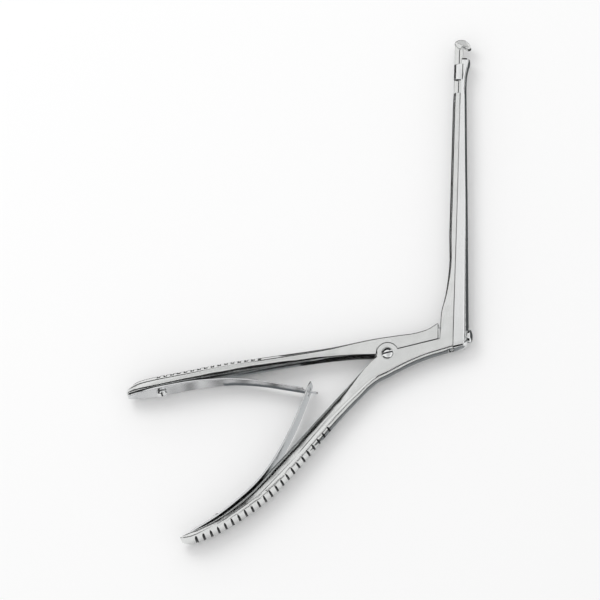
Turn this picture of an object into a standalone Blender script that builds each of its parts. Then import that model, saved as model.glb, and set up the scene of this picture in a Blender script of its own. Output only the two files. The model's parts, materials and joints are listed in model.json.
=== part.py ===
# Bone punch with a sliding shaft, plier handles and a pair of interlocked leaf springs.
# The instrument lies flat: shaft along +Y, handles toward -X, joint screw toward +Z.
# Outlines are in millimetres from the joint's axis; the meshes are made in metres.

import math

import bmesh
import bpy
from mathutils import Matrix, Vector

MM = 0.001

# Shared sizes
GAP = 0.3
JOINT_WIDTH = 8.0
EYE_RADIUS = 5.45
GRIP_WIDTH = 13.0
DRAWN_LENGTH = 131.5
HANDLE_LENGTH = 131.5

# Shaft: the slider runs on the plane X = RAIL_TOP and moves along +Y
RAIL_TOP = 32.9
RAIL_BOTTOM = 29.5
BLOCK_LEFT = 26.05
TIP_WIDTH = 5.0
JAW_OPENING = 6.0
HEEL_Y = 1.95
FOOT_Y = 162.7
SLIDER_Y = FOOT_Y - JAW_OPENING
SLIDER_BACK_X = 40.2
TRAVEL = 4.4

# Milled T of the rail near the tip, and the claws that grip it
TEE_RISE = 0.8
TEE_UNDERSIDE = 31.7
TEE_HEAD_WIDTH = 3.2
TEE_STEM_WIDTH = 2.0
TEE_CHAMFER = 0.5
CLAW_SETBACK = 3.2
CLAW_LENGTH = 8.2
CLAW_WIDTH = TIP_WIDTH + 0.1
CLAW_CHEEK = 0.6
CLAW_ROUNDING = 2.1
CLAW_DROP = 1.1
RELEASE_LENGTH = 7.0

# Drive: the dog of the slider screw stands in the fork of the lever's tongue
DOG_X = 34.9
DOG_Y = 9.05
DOG_RADIUS = 1.5
DOG_END = 33.5
STROKE_ANGLE = TRAVEL / DOG_X
FORK_WIDTH = 3.0
FORK_PRONG = 1.3
FORK_END = 36.8

# T keel under the slider's rear end
KEEL_START = 2.3
KEEL_LENGTH = 2.9
KEEL_NECK = 3.0
KEEL_FOOT = 4.8
KEEL_DEPTH = 1.3
KEEL_FOOT_DEPTH = 1.0

# Screws
PIVOT_HEAD_RADIUS = 2.85
PIVOT_SHANK_RADIUS = 1.7
SLIDER_HEAD_RADIUS = 3.5
HEAD_SINK = 0.4
SLIDER_SHANK_RADIUS = 1.9
SPRING_HEAD_RADIUS = 2.7
SPRING_SHANK_RADIUS = 1.3
SPRING_SEAT = 2.15
COUNTERSINK_RISE = 1.2
SPRING_DOME_RISE = 0.9
SLOT_WIDTH = 0.7

# Leaf springs
LEAF_ROOT_THICKNESS = 1.1
LEAF_TIP_THICKNESS = 0.7
LINK_TONGUE_WIDTH = 2.6

# Grooves across the backs of the handles
GROOVE_DEPTH = 0.55
GROOVE_WIDTH = 1.3
GROOVE_CLEARANCE = 0.45
GROOVE_REACH = 0.8
GROOVE_STEPS = 6
FRONT_GROOVE_COUNT = 16
REAR_GROOVE_COUNT = 23


def grown(x, y):
    """A point of the handles, moved out along its handle when that is longer than drawn."""
    share = min(max((-x - 12.0) / 30.0, 0.0), 1.0)
    factor = 1 + (HANDLE_LENGTH / DRAWN_LENGTH - 1) * share
    return x * factor, y * factor


def lever(*stations):
    return [(grown(*inner), grown(*outer), *rest) for inner, outer, *rest in stations]


def leaf(*stations):
    return [(*grown(x, y), width) for x, y, width in stations]


# Stations of the front handle: inner point, outer point, width, how far the inner
# corner is rounded across and in, and the rise of the crowned back.
FRONT_LEVER = lever(
    ((-131.3, -17.9), (-131.5, -16.7), 4.6, 0.4, 0.4, 0.6),
    ((-130.4, -17.9), (-130.6, -14.7), 7.4, 0.7, 0.8, 1.6),
    ((-127.6, -17.5), (-128.0, -12.6), 10.2, 1.0, 1.3, 2.4),
    ((-124.1, -16.9), (-124.8, -10.9), 12.0, 1.3, 1.6, 3.0),
    ((-115.6, -15.4), (-117.1, -9.0), GRIP_WIDTH, 1.7, 2.0, 3.3),
    ((-99.7, -12.6), (-100.9, -6.0), GRIP_WIDTH, 2.6, 2.6, 3.4),
    ((-79.8, -9.4), (-81.0, -2.3), 12.6, 4.0, 3.6, 3.3),
    ((-61.8, -6.6), (-62.8, 0.1), 11.3, 4.2, 3.6, 2.9),
    ((-43.9, -3.8), (-45.1, 2.3), 9.6, 3.2, 2.8, 2.3),
    ((-28.0, -1.5), (-29.3, 4.4), 8.5, 1.5, 1.3, 1.7),
    ((-15.0, -0.4), (-17.2, 6.7), JOINT_WIDTH, 0.3, 0.4, 1.2),
    ((-6.0, -0.3), (-7.2, 8.5), JOINT_WIDTH, 0.2, 0.2, 1.0),
    ((0.0, 1.1), (-0.2, 9.4), JOINT_WIDTH, 0.2, 0.2, 0.9),
    ((5.4, 2.5), (5.2, 10.1), JOINT_WIDTH, 0.2, 0.2, 0.9),
    ((12.3, 4.13), (12.1, 10.9), JOINT_WIDTH, 0.2, 0.2, 0.9),
    ((18.6, 5.61), (18.4, 12.4), JOINT_WIDTH, 0.2, 0.2, 0.9),
    ((22.4, 6.51), (22.2, 14.3), JOINT_WIDTH, 0.2, 0.2, 0.9),
    ((25.3, 7.19), (25.1, 16.3), JOINT_WIDTH, 0.2, 0.2, 0.9),
)

# Stations of the rear handle and the body block, in the same form.
REAR_LEVER = lever(
    ((-101.9, -95.0), (-102.0, -96.0), 6.0, 0.4, 0.4, 0.5),
    ((-100.9, -94.7), (-100.2, -96.9), 9.0, 0.7, 0.7, 1.0),
    ((-97.9, -93.6), (-95.9, -96.9), 11.4, 0.9, 1.1, 1.5),
    ((-90.9, -90.3), (-87.8, -93.9), 12.6, 2.2, 2.4, 1.9),
    ((-81.1, -84.0), (-77.5, -88.7), GRIP_WIDTH, 3.2, 3.8, 2.4),
    ((-67.1, -71.8), (-61.2, -77.3), GRIP_WIDTH, 4.3, 5.4, 2.8),
    ((-56.4, -59.0), (-49.3, -65.4), 12.6, 4.6, 6.2, 3.0),
    ((-45.5, -46.5), (-38.7, -52.6), 11.8, 4.4, 6.0, 2.9),
    ((-33.5, -32.3), (-27.2, -37.8), 10.2, 3.6, 5.2, 2.5),
    ((-21.4, -19.0), (-15.6, -24.5), 8.8, 2.0, 3.2, 2.1),
    ((-11.9, -8.7), (-6.2, -14.9), 8.2, 0.3, 0.4, 1.8),
    ((-5.4, -2.1), (0.6, -11.2), JOINT_WIDTH, 0.2, 0.2, 1.7),
    ((0.0, -0.2), (4.7, -8.9), JOINT_WIDTH, 0.2, 0.2, 1.6),
    ((5.4, 2.1), (9.7, -6.3), JOINT_WIDTH, 0.2, 0.2, 1.5),
    ((13.9, 4.12), (15.6, -3.7), JOINT_WIDTH, 0.2, 0.2, 1.5),
    ((19.9, 5.53), (20.8, -1.75), JOINT_WIDTH, 0.2, 0.2, 1.5),
    ((26.0, 6.96), (27.2, 0.15), JOINT_WIDTH, 0.2, 0.2, 1.5),
    ((RAIL_TOP, 8.6), (RAIL_TOP, 1.85), JOINT_WIDTH, 0.2, 0.2, 1.5),
)

# Left edge, width and rounding of the fixed shaft, going up from inside the body block.
FIXED_SHAFT = [
    (BLOCK_LEFT, 4.5, JOINT_WIDTH, 0.5),
    (BLOCK_LEFT, 14.0, JOINT_WIDTH, 0.5),
    (BLOCK_LEFT + 0.2, 21.4, JOINT_WIDTH, 0.6),
    (27.1, 26.0, 7.9, 0.8),
    (28.1, 31.0, 7.6, 1.0),
    (29.2, 40.5, 7.0, 1.2),
    (29.7, 50.0, 6.4, 1.3),
    (RAIL_BOTTOM - 0.3, 62.0, 5.7, 1.4),
    (RAIL_BOTTOM - 0.3, 80.0, TIP_WIDTH, 1.5),
    (RAIL_BOTTOM - 0.3, FOOT_Y - 32.7, TIP_WIDTH, 1.5),
    (RAIL_BOTTOM, FOOT_Y - 23.7, TIP_WIDTH, 1.3),
    (RAIL_BOTTOM, FOOT_Y - 1.7, TIP_WIDTH, 1.1),
]

# Back edge, width and crown of the slider, going up from its rear end.
SLIDER_BACK = [
    (SLIDER_BACK_X, 7.0, JOINT_WIDTH, 1.9),
    (SLIDER_BACK_X, 14.0, JOINT_WIDTH, 1.9),
    (39.8, 26.0, 7.8, 1.8),
    (39.0, 50.0, 6.4, 1.5),
    (37.95, 80.0, TIP_WIDTH, 1.0),
    (37.2, 100.0, TIP_WIDTH, 0.9),
    (36.15, SLIDER_Y - 26.7, TIP_WIDTH, 0.8),
    (35.95, SLIDER_Y - 20.2, TIP_WIDTH, 0.85),
    (35.8, SLIDER_Y - 16.2, TIP_WIDTH, 1.5),
    (35.9, SLIDER_Y - 10.2, TIP_WIDTH, 1.6),
    (36.5, SLIDER_Y - 6.2, TIP_WIDTH, 1.3),
    (37.15, SLIDER_Y - 3.7, TIP_WIDTH, 1.0),
    (37.3, SLIDER_Y - 2.1, TIP_WIDTH, 0.9),
]

# Middle lines of the leaf springs with their widths, from the screwed root to the tip.
FRONT_LEAF = leaf(
    (-130.9, -18.85, 2.8),
    (-130.0, -18.75, 4.6),
    (-127.6, -18.4, 6.6),
    (-123.0, -17.65, 9.4),
    (-116.0, -16.35, 12.0),
    (-108.0, -14.95, 12.2),
    (-97.0, -13.1, 11.4),
    (-83.2, -12.0, 9.6),
    (-72.6, -12.3, 8.8),
    (-62.0, -13.6, 8.3),
    (-53.8, -15.2, 8.0),
    (-42.3, -17.5, 7.8),
)
FRONT_LINK_END = grown(-35.4, -19.1)
REAR_LEAF = leaf(
    (-98.6, -93.0, 3.0),
    (-97.6, -92.6, 5.4),
    (-95.4, -91.6, 7.6),
    (-91.7, -89.7, 9.4),
    (-86.1, -86.4, 10.4),
    (-81.7, -83.3, 10.6),
    (-74.6, -77.4, 10.6),
    (-67.8, -71.2, 10.6),
    (-62.0, -64.8, 10.6),
    (-56.6, -57.1, 10.6),
    (-51.4, -47.7, 10.6),
    (-46.2, -36.3, 10.6),
    (-42.8, -27.3, 10.6),
    (-40.2, -19.7, 10.4),
    (-38.9, -15.7, 9.4),
    (-38.3, -14.0, 7.2),
)
LINK_CROSSING = grown(-39.7, -18.2)
FRONT_SPRING_SCREW = grown(-114.0, -16.0)
REAR_SPRING_SCREW = grown(-84.0, -84.95)


# Curves through the station tables

def smooth(keys, steps):
    """Points on a smooth curve through every key, a fixed number in each span."""
    points = []
    last = len(keys) - 1
    for span in range(last):
        before = keys[max(span - 1, 0)]
        start = keys[span]
        end = keys[span + 1]
        after = keys[min(span + 2, last)]
        for step in range(steps):
            u = step / steps
            points.append([
                0.5 * (2 * b + (c - a) * u + (2 * a - 5 * b + 4 * c - d) * u * u
                       + (3 * b - a - 3 * c + d) * u ** 3)
                for a, b, c, d in zip(before, start, end, after)
            ])
    points.append(list(keys[last]))
    return points


def flat(station):
    """A station of a lever as one row of numbers."""
    inner, outer, *rest = station
    return (*inner, *outer, *rest)


# Solids

def crown_arc(width, crown):
    """Radius and half angle of the arc that rises by the crown over the width."""
    half = width / 2
    radius = (half * half + crown * crown) / (2 * crown)
    return radius, math.asin(half / radius)


def ring(row, bend=4, turns=2):
    """Closed section: flat inner face, rounded inner corners and a crowned outer side."""
    inner = Vector((row[0], row[1], 0.0))
    outer = Vector((row[2], row[3], 0.0))
    width, corner, soft, crown = row[4:8]
    depth = (outer - inner).length
    along = (outer - inner).normalized()
    half = width / 2
    radius, spread = crown_arc(width, crown)
    side = []
    for k in range(turns + 1):
        turn = math.pi / 2 * k / turns
        side.append((soft - soft * math.cos(turn), half - corner + corner * math.sin(turn)))
    back = []
    for k in range(2 * bend + 1):
        turn = spread * (1 - k / bend)
        back.append((depth - radius + radius * math.cos(turn), radius * math.sin(turn)))
    loop = side + back + [(t, -z) for t, z in reversed(side)]
    return [inner + along * t + Vector((0.0, 0.0, z)) for t, z in loop]


def loft(rings):
    """Closed solid through a row of sections with equal point counts."""
    bm = bmesh.new()
    loops = [[bm.verts.new(point) for point in points] for points in rings]
    count = len(loops[0])
    for low, high in zip(loops, loops[1:]):
        for k in range(count):
            n = (k + 1) % count
            bm.faces.new((low[k], low[n], high[n], high[k]))
    bm.faces.new(list(reversed(loops[0])))
    bm.faces.new(loops[-1])
    return finished(bm)


def prism(outline, low, high):
    """Solid with a flat outline in the instrument's plane, between two heights."""
    bm = bmesh.new()
    base = bm.faces.new([bm.verts.new((x, y, low)) for x, y in outline])
    raised = bmesh.ops.extrude_face_region(bm, geom=[base])
    top = [item for item in raised["geom"] if isinstance(item, bmesh.types.BMVert)]
    bmesh.ops.translate(bm, verts=top, vec=(0.0, 0.0, high - low))
    return finished(bm)


def box(low, high):
    """Rectangular solid between two corners."""
    corners = [(low[0], low[1]), (high[0], low[1]), (high[0], high[1]), (low[0], high[1])]
    return prism(corners, low[2], high[2])


def turned(profile, foot, axis, sides=32):
    """Solid of revolution: rows of radius and height from a foot point along an axis."""
    bm = bmesh.new()
    place = Matrix.Translation(foot) @ Vector(axis).to_track_quat("Z", "Y").to_matrix().to_4x4()
    loops = []
    for radius, height in profile:
        loops.append([
            bm.verts.new(place @ Vector((radius * math.cos(2 * math.pi * k / sides),
                                         radius * math.sin(2 * math.pi * k / sides), height)))
            for k in range(sides)
        ])
    for low, high in zip(loops, loops[1:]):
        for k in range(sides):
            n = (k + 1) % sides
            bm.faces.new((low[k], low[n], high[n], high[k]))
    bm.faces.new(list(reversed(loops[0])))
    bm.faces.new(loops[-1])
    return finished(bm)


def finished(bm):
    bmesh.ops.recalc_face_normals(bm, faces=bm.faces)
    return bm


def as_object(name, bm):
    """Puts a solid into the scene, scaled from millimetres to metres."""
    bm.transform(Matrix.Scale(MM, 4))
    mesh = bpy.data.meshes.new(name)
    bm.to_mesh(mesh)
    bm.free()
    thing = bpy.data.objects.new(name, mesh)
    bpy.context.scene.collection.objects.link(thing)
    return thing


def combine(body, solids, operation):
    """Joins solids to a body or cuts them out of it, one after another."""
    for number, solid in enumerate(solids):
        tool = as_object(f"{body.name}_tool_{number}", solid)
        step = body.modifiers.new(tool.name, "BOOLEAN")
        step.operation = operation
        step.solver = "EXACT"
        step.object = tool
        view = bpy.context.evaluated_depsgraph_get()
        shaped = bpy.data.meshes.new_from_object(body.evaluated_get(view))
        body.modifiers.clear()
        spent = body.data
        body.data = shaped
        bpy.data.meshes.remove(spent)
        bpy.data.objects.remove(tool)
    return body


def join(body, *solids):
    return combine(body, solids, "UNION")


def cut(body, *solids):
    return combine(body, solids, "DIFFERENCE")


# Shared features

def eye(face, back):
    """Disc of the lap joint between two heights."""
    low, high = sorted((face, back))
    return turned([(EYE_RADIUS, low), (EYE_RADIUS, high)], (0, 0, 0), (0, 0, 1), 64)


def recess(floor, reach):
    """Round pocket that takes the other half's eye with clearance."""
    low, high = sorted((floor, reach))
    radius = EYE_RADIUS + GAP
    return turned([(radius, low), (radius, high)], (0, 0, 0), (0, 0, 1), 64)


def groove_cutters(keys, first, last, count):
    """Vee cutters around the crowned back of a handle, evenly spaced between two stations."""
    rows = smooth([flat(key) for key in keys[first:last + 1]], 12)
    crests = [Vector((row[2], row[3], 0.0)) for row in rows]
    lengths = [0.0]
    for a, b in zip(crests, crests[1:]):
        lengths.append(lengths[-1] + (b - a).length)
    half = GROOVE_WIDTH / 2 * (GROOVE_DEPTH + GROOVE_CLEARANCE) / GROOVE_DEPTH
    cutters = []
    for k in range(count):
        goal = lengths[-1] * (k + 0.5) / count
        span = max(i for i, done in enumerate(lengths[:-1]) if done <= goal)
        share = (goal - lengths[span]) / (lengths[span + 1] - lengths[span])
        crest = crests[span].lerp(crests[span + 1], share)
        along = (crests[span + 1] - crests[span]).normalized()
        outward = crests[span] - Vector((rows[span][0], rows[span][1], 0.0))
        outward = (outward - along * outward.dot(along)).normalized()
        radius, spread = crown_arc(rows[span][4], rows[span][7])
        wedge = []
        for step in range(GROOVE_STEPS + 1):
            share = 2 * step / GROOVE_STEPS - 1
            turn = spread * GROOVE_REACH * share
            spoke = outward * math.cos(turn) + Vector((0.0, 0.0, math.sin(turn)))
            top = crest + spoke * (radius + GROOVE_CLEARANCE) - outward * radius
            bottom = crest + spoke * (radius + 0.05 - GROOVE_DEPTH * (1 - share ** 6)) - outward * radius
            wedge.append([bottom, top + along * half, top - along * half])
        cutters.append(loft(wedge))
    return cutters


def merged(solids):
    """Several separate solids as one mesh."""
    whole = bmesh.new()
    for solid in solids:
        spare = bpy.data.meshes.new("spare")
        solid.to_mesh(spare)
        solid.free()
        whole.from_mesh(spare)
        bpy.data.meshes.remove(spare)
    return whole


def slot_cutter(centre, axis, along, length, depth):
    """Straight driver slot in the top of a screw head."""
    up = Vector(axis).normalized()
    run = Vector(along).normalized()
    side = up.cross(run)
    turn = Matrix((run, side, up)).transposed().to_4x4()
    bm = box((-length, -SLOT_WIDTH / 2, -depth), (length, SLOT_WIDTH / 2, 3.0))
    bm.transform(Matrix.Translation(centre) @ turn)
    return bm


def dome(radius, base, rise, rows=4):
    """Profile rows of a shallow dome, from its rim to a small flat at the top."""
    rows_out = []
    for k in range(rows + 1):
        turn = math.pi / 2 * k / (rows + 0.6)
        rows_out.append((radius * math.cos(turn), base + rise * math.sin(turn)))
    return rows_out


# Pieces

def make_fixed_shaft():
    """Rear handle, body block, near half of the eye, rail and foot plate: one forging."""
    handle = loft([ring(row, 4, 4) for row in smooth([flat(s) for s in REAR_LEVER], 3)])
    body = as_object("fixed_shaft", handle)
    rows = []
    for x, y, width, crown in smooth(FIXED_SHAFT, 2):
        rows.append((RAIL_TOP, y, x, y, width, 0.12, 0.12, crown))
    join(body, loft([ring(row, 4) for row in rows]))
    cut(body, recess(GAP / 2, -JOINT_WIDTH))
    join(body, eye(GAP / 2, JOINT_WIDTH / 2))

    # Foot plate: a cupped hook that stands up in front of the slider.
    left = RAIL_BOTTOM
    foot = [
        (left, -2.7), (left + 0.05, 1.8), (left + 0.3, 2.5), (left + 1.0, 3.1), (left + 2.4, 3.5),
        (33.7, 3.55), (35.0, 3.15), (36.1, 2.35), (36.95, 1.3), (37.45, 0.1), (37.5, -0.75),
        (37.0, -1.2), (36.2, -1.3), (35.3, -1.05), (34.5, -0.4), (33.9, 0.0), (33.3, -0.1),
        (RAIL_TOP, -0.7), (RAIL_TOP, -2.7),
    ]
    plate = prism([(x, FOOT_Y + y) for x, y in foot], -TIP_WIDTH / 2, TIP_WIDTH / 2)
    rims = [e for e in plate.edges if abs(e.verts[0].co.z - e.verts[1].co.z) < 0.01]
    bmesh.ops.bevel(plate, geom=rims, offset=0.45, segments=3, profile=0.5, affect="EDGES", material=-1)
    for vertex in plate.verts:
        share = min(max((vertex.co.x - RAIL_TOP) / (37.5 - RAIL_TOP), 0.0), 1.0)
        vertex.co.z *= 1 - 0.45 * share * share
    join(body, plate)
    cup = turned([(0.5, 0.0), (1.2, 0.35), (1.5, 1.0), (1.6, 2.2)],
                 (35.3, FOOT_Y + 0.55, 0), (0, -1, 0), 24)
    cut(body, cup)

    # Milled T with a raised head, cut back for the release of the claws.
    low = SLIDER_Y - CLAW_SETBACK - CLAW_LENGTH - RELEASE_LENGTH
    high = FOOT_Y - 1.2
    head = TEE_HEAD_WIDTH / 2
    under = TEE_UNDERSIDE
    mill = [(under, low), (under, high), (left + 1.3, high + 0.9), (left + 0.4, high + 2.0),
            (left - 1, high + 3.4), (left - 1, low)]
    for side in (-1, 1):
        near, far = sorted((side * head, side * TIP_WIDTH))
        cut(body, box((under - 0.1, low, near), (RAIL_TOP + 2, high, far)))
        near, far = sorted((side * TEE_STEM_WIDTH / 2, side * TIP_WIDTH))
        cut(body, prism(mill, near, far))
    join(body, box((RAIL_TOP - 0.5, low, -head), (RAIL_TOP + TEE_RISE, high + 0.8, head)))
    crest = RAIL_TOP + TEE_RISE
    for side in (-1, 1):
        for edge, inward in ((under, TEE_CHAMFER), (crest, -TEE_CHAMFER)):
            wedge = [(edge - 0.4 * inward, side * (head - 0.84 * TEE_CHAMFER)),
                     (edge + 2 * inward, side * (head + 0.6 * TEE_CHAMFER)),
                     (edge - 0.4 * inward, side * (head + 0.6 * TEE_CHAMFER))]
            bar = prism(wedge, 0.0, high - low - 0.4)
            bar.transform(Matrix.Translation((0, high - 0.2, 0)) @ Matrix.Rotation(math.pi / 2, 4, "X"))
            cut(body, finished(bar))

    # Mortise for the lever's tongue, and the T slot that opens at the rear.
    floor = DOG_Y - DOG_RADIUS - FORK_PRONG - GAP - 0.75
    roof = DOG_Y + DOG_RADIUS + FORK_PRONG + TRAVEL + 2 * GAP
    mortise = [(25.0, 7.5), (27.4, floor), (RAIL_TOP + 2, floor), (RAIL_TOP + 2, roof), (25.0, roof)]
    cut(body, prism(mortise, -FORK_WIDTH / 2 - GAP, FORK_WIDTH / 2 + GAP))
    stop = KEEL_START + KEEL_LENGTH + TRAVEL + GAP
    neck = KEEL_NECK / 2 + GAP
    wide = KEEL_FOOT / 2 + GAP
    ceiling = RAIL_TOP + GAP - KEEL_DEPTH + GAP
    cut(body, box((ceiling - 0.1, -3, -neck), (RAIL_TOP + 2, stop, neck)),
        box((ceiling - KEEL_FOOT_DEPTH - 2 * GAP, -3, -wide), (ceiling, stop, wide)))

    # Seat and hole of the pivot screw, grooves and the tapped hole of the spring screw.
    bore = PIVOT_SHANK_RADIUS + GAP
    seat = PIVOT_HEAD_RADIUS + GAP
    cut(body, turned([(bore, -5), (bore, JOINT_WIDTH / 2 - 1.3), (seat, JOINT_WIDTH / 2 - 1.3), (seat, 6)],
                     (0, 0, 0), (0, 0, 1)))
    cut(body, merged(groove_cutters(REAR_LEVER, 2, 8, REAR_GROOVE_COUNT)))
    cut(body, spring_hole(REAR_SPRING_SCREW, leaf_normal(REAR_LEAF, REAR_SPRING_SCREW, -1)))
    return body


def make_front_handle():
    """Front handle, toe, tongue and the far half of the eye: one forging."""
    handle = loft([ring(row, 4, 4) for row in smooth([flat(s) for s in FRONT_LEVER], 3)])
    body = as_object("front_handle", handle)
    cut(body, recess(-GAP / 2, JOINT_WIDTH))
    join(body, eye(-GAP / 2, -JOINT_WIDTH / 2))

    # Tongue with a fork for the dog; it lies level in the middle of the stroke.
    lean = -STROKE_ANGLE / 2
    reach = DOG_RADIUS + FORK_PRONG + 0.25
    slot = DOG_RADIUS + 0.25

    def at(x, y):
        return (x, DOG_Y + (x - DOG_X) * math.tan(lean) + y / math.cos(lean))

    tongue = [
        (22.0, 8.2), (25.0, 7.9), (27.4, 7.1), at(30.0, -reach), at(FORK_END - 0.6, -reach),
        at(FORK_END, -reach + 0.6), at(FORK_END, -slot), at(32.6, -slot), at(31.9, -slot + 0.9),
        at(31.9, slot - 0.9), at(32.6, slot), at(FORK_END, slot), at(FORK_END, reach - 0.6),
        at(FORK_END - 0.6, reach), at(27.0, reach), (25.0, 13.6), (22.0, 12.6),
    ]
    join(body, prism(tongue, -FORK_WIDTH / 2, FORK_WIDTH / 2))
    bore = PIVOT_SHANK_RADIUS + GAP
    cut(body, turned([(bore, -6), (bore, 6)], (0, 0, 0), (0, 0, 1)))
    cut(body, merged(groove_cutters(FRONT_LEVER, 4, 7, FRONT_GROOVE_COUNT)))
    cut(body, spring_hole(FRONT_SPRING_SCREW, leaf_normal(FRONT_LEAF, FRONT_SPRING_SCREW, 1)))
    return body


def make_slider():
    """Sliding shaft with the cutting head, the claws and the T keel."""
    sole = RAIL_TOP + GAP
    rows = []
    for rise, back, width in ((0.0, 36.6, 3.2), (0.3, 38.1, 5.4), (0.75, 39.1, 6.8), (1.6, 39.8, 7.9),
                              (2.9, 40.15, JOINT_WIDTH)):
        rows.append((sole, HEEL_Y + rise, back, HEEL_Y + 0.95 + 1.25 * rise, width, 0.12, 0.12,
                     0.5 + 0.5 * rise))
    for x, y, width, crown in smooth(SLIDER_BACK, 3):
        rows.append((sole, y, x, y, width, 0.12, 0.12, crown))
    rows += [
        (sole, SLIDER_Y - 0.7, 37.1, SLIDER_Y - 0.7, TIP_WIDTH - 0.2, 0.2, 0.2, 0.9),
        (sole, SLIDER_Y - 0.2, 36.6, SLIDER_Y - 0.2, TIP_WIDTH - 0.6, 0.3, 0.3, 0.9),
        (sole + 0.2, SLIDER_Y, 36.1, SLIDER_Y, TIP_WIDTH - 1.1, 0.3, 0.3, 0.8),
    ]
    body = as_object("slider", loft([ring(row, 4) for row in rows]))

    # Claws: two cheeks beside the rail, with lips under its head and rounded outside.
    front = SLIDER_Y - CLAW_SETBACK
    lip_top = TEE_UNDERSIDE - GAP
    for side in (-1, 1):
        out = CLAW_WIDTH / 2
        wall = out - CLAW_CHEEK
        lip = TEE_STEM_WIDTH / 2 + GAP
        section = [(RAIL_BOTTOM, lip), (lip_top, lip), (lip_top, wall), (sole + 1.0, wall), (sole + 1.0, out)]
        for k in range(5):
            turn = math.pi / 2 * k / 4
            section.append((RAIL_BOTTOM + CLAW_ROUNDING * (1 - math.sin(turn)),
                            out - CLAW_DROP * (1 - math.cos(turn))))
        claw = prism([(x, side * z) for x, z in section], 0.0, CLAW_LENGTH)
        claw.transform(Matrix.Translation((0, front, 0)) @ Matrix.Rotation(math.pi / 2, 4, "X"))
        join(body, finished(claw))

    # Channel over the raised head of the rail.
    roof = RAIL_TOP + TEE_RISE + GAP
    half = TEE_HEAD_WIDTH / 2 + GAP
    start = front - CLAW_LENGTH - RELEASE_LENGTH - TRAVEL - GAP
    cut(body, box((sole - 1, start, -half), (roof, SLIDER_Y + 1, half)))

    # T keel near the rear end, pocket for the fork, seat and hole of the screw.
    keel_end = KEEL_START + KEEL_LENGTH
    foot_top = sole - KEEL_DEPTH
    join(body, box((foot_top - 0.2, KEEL_START, -KEEL_NECK / 2), (sole + 0.8, keel_end, KEEL_NECK / 2)),
         box((foot_top - KEEL_FOOT_DEPTH, KEEL_START, -KEEL_FOOT / 2), (foot_top, keel_end, KEEL_FOOT / 2)))
    room = DOG_RADIUS + FORK_PRONG + 0.85
    pocket = FORK_WIDTH / 2 + GAP
    cut(body, box((sole - 1, DOG_Y - room, -pocket), (FORK_END + GAP, DOG_Y + room, pocket)))
    bore = SLIDER_SHANK_RADIUS + GAP
    spot = SLIDER_HEAD_RADIUS + 0.4
    cut(body, turned([(bore, -3), (bore, 8)], (DOG_X, DOG_Y, 0), (1, 0, 0)),
        turned([(spot, 0), (spot, 3)], (SLIDER_BACK_X - HEAD_SINK, DOG_Y, 0), (1, 0, 0)))

    # Hollow of the cutting head.
    hollow = turned([(0.7, 0.0), (1.0, 0.25), (1.15, 0.8), (1.3, 3.0)],
                    (35.7, SLIDER_Y - 1.6, 0), (0, 1, 0), 24)
    cut(body, hollow)
    return body


def make_pivot_screw():
    top = JOINT_WIDTH / 2
    rows = [(PIVOT_SHANK_RADIUS - 0.3, -top + 0.1), (PIVOT_SHANK_RADIUS, -top + 0.4),
            (PIVOT_SHANK_RADIUS, top - 1.0), (PIVOT_HEAD_RADIUS, top - 1.0)]
    rows += dome(PIVOT_HEAD_RADIUS, top - 0.1, 0.9)
    screw = as_object("pivot_screw", turned(rows, (0, 0, 0), (0, 0, 1)))
    angle = math.radians(14)
    cut(screw, slot_cutter((0, 0, top + 0.1), (0, 0, 1), (math.cos(angle), math.sin(angle), 0), 4, 0.1))
    return screw


def make_slider_screw():
    seat = SLIDER_BACK_X - HEAD_SINK + GAP
    rows = [(DOG_RADIUS - 0.3, 0.0), (DOG_RADIUS, 0.3), (DOG_RADIUS, FORK_END + GAP - DOG_END),
            (SLIDER_SHANK_RADIUS, FORK_END + 2 * GAP - DOG_END), (SLIDER_SHANK_RADIUS, seat - DOG_END),
            (SLIDER_HEAD_RADIUS - 0.2, seat - DOG_END), (SLIDER_HEAD_RADIUS, seat - DOG_END + 0.2)]
    rows += dome(SLIDER_HEAD_RADIUS, seat - DOG_END + 1.0, 1.15)
    screw = as_object("slider_screw", turned(rows, (DOG_END, DOG_Y, 0), (1, 0, 0)))
    cut(screw, slot_cutter((seat + 2.1, DOG_Y, 0), (1, 0, 0), (0, 1, 0), 5, 0.8))
    return screw


def leaf_normal(keys, near, sign):
    """Direction across a leaf at the span nearest a point."""
    spans = [(Vector(b[:2]) - Vector(a[:2]), (Vector(a[:2]) + Vector(b[:2])) / 2)
             for a, b in zip(keys, keys[1:])]
    run = min(spans, key=lambda span: (span[1] - Vector(near)).length)[0].normalized()
    return Vector((run.y, -run.x, 0.0)) * sign


def make_leaf(name, keys, thin_from):
    """Tapered strip along a middle line, thinner toward the tip."""
    points = smooth(keys, 3)
    count = len(points)
    rings = []
    for k, (x, y, width) in enumerate(points):
        ahead = points[min(k + 1, count - 1)]
        back = points[max(k - 1, 0)]
        run = Vector((ahead[0] - back[0], ahead[1] - back[1], 0)).normalized()
        across = Vector((run.y, -run.x, 0))
        share = max(0.0, (k - thin_from) / (count - 1 - thin_from))
        thick = LEAF_ROOT_THICKNESS + (LEAF_TIP_THICKNESS - LEAF_ROOT_THICKNESS) * share
        inner = Vector((x, y, 0)) - across * thick / 2
        outer = Vector((x, y, 0)) + across * thick / 2
        rings.append(ring((inner.x, inner.y, outer.x, outer.y, width, 0.2, 0.2, 0.15), 1))
    return as_object(name, loft(rings))


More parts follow.
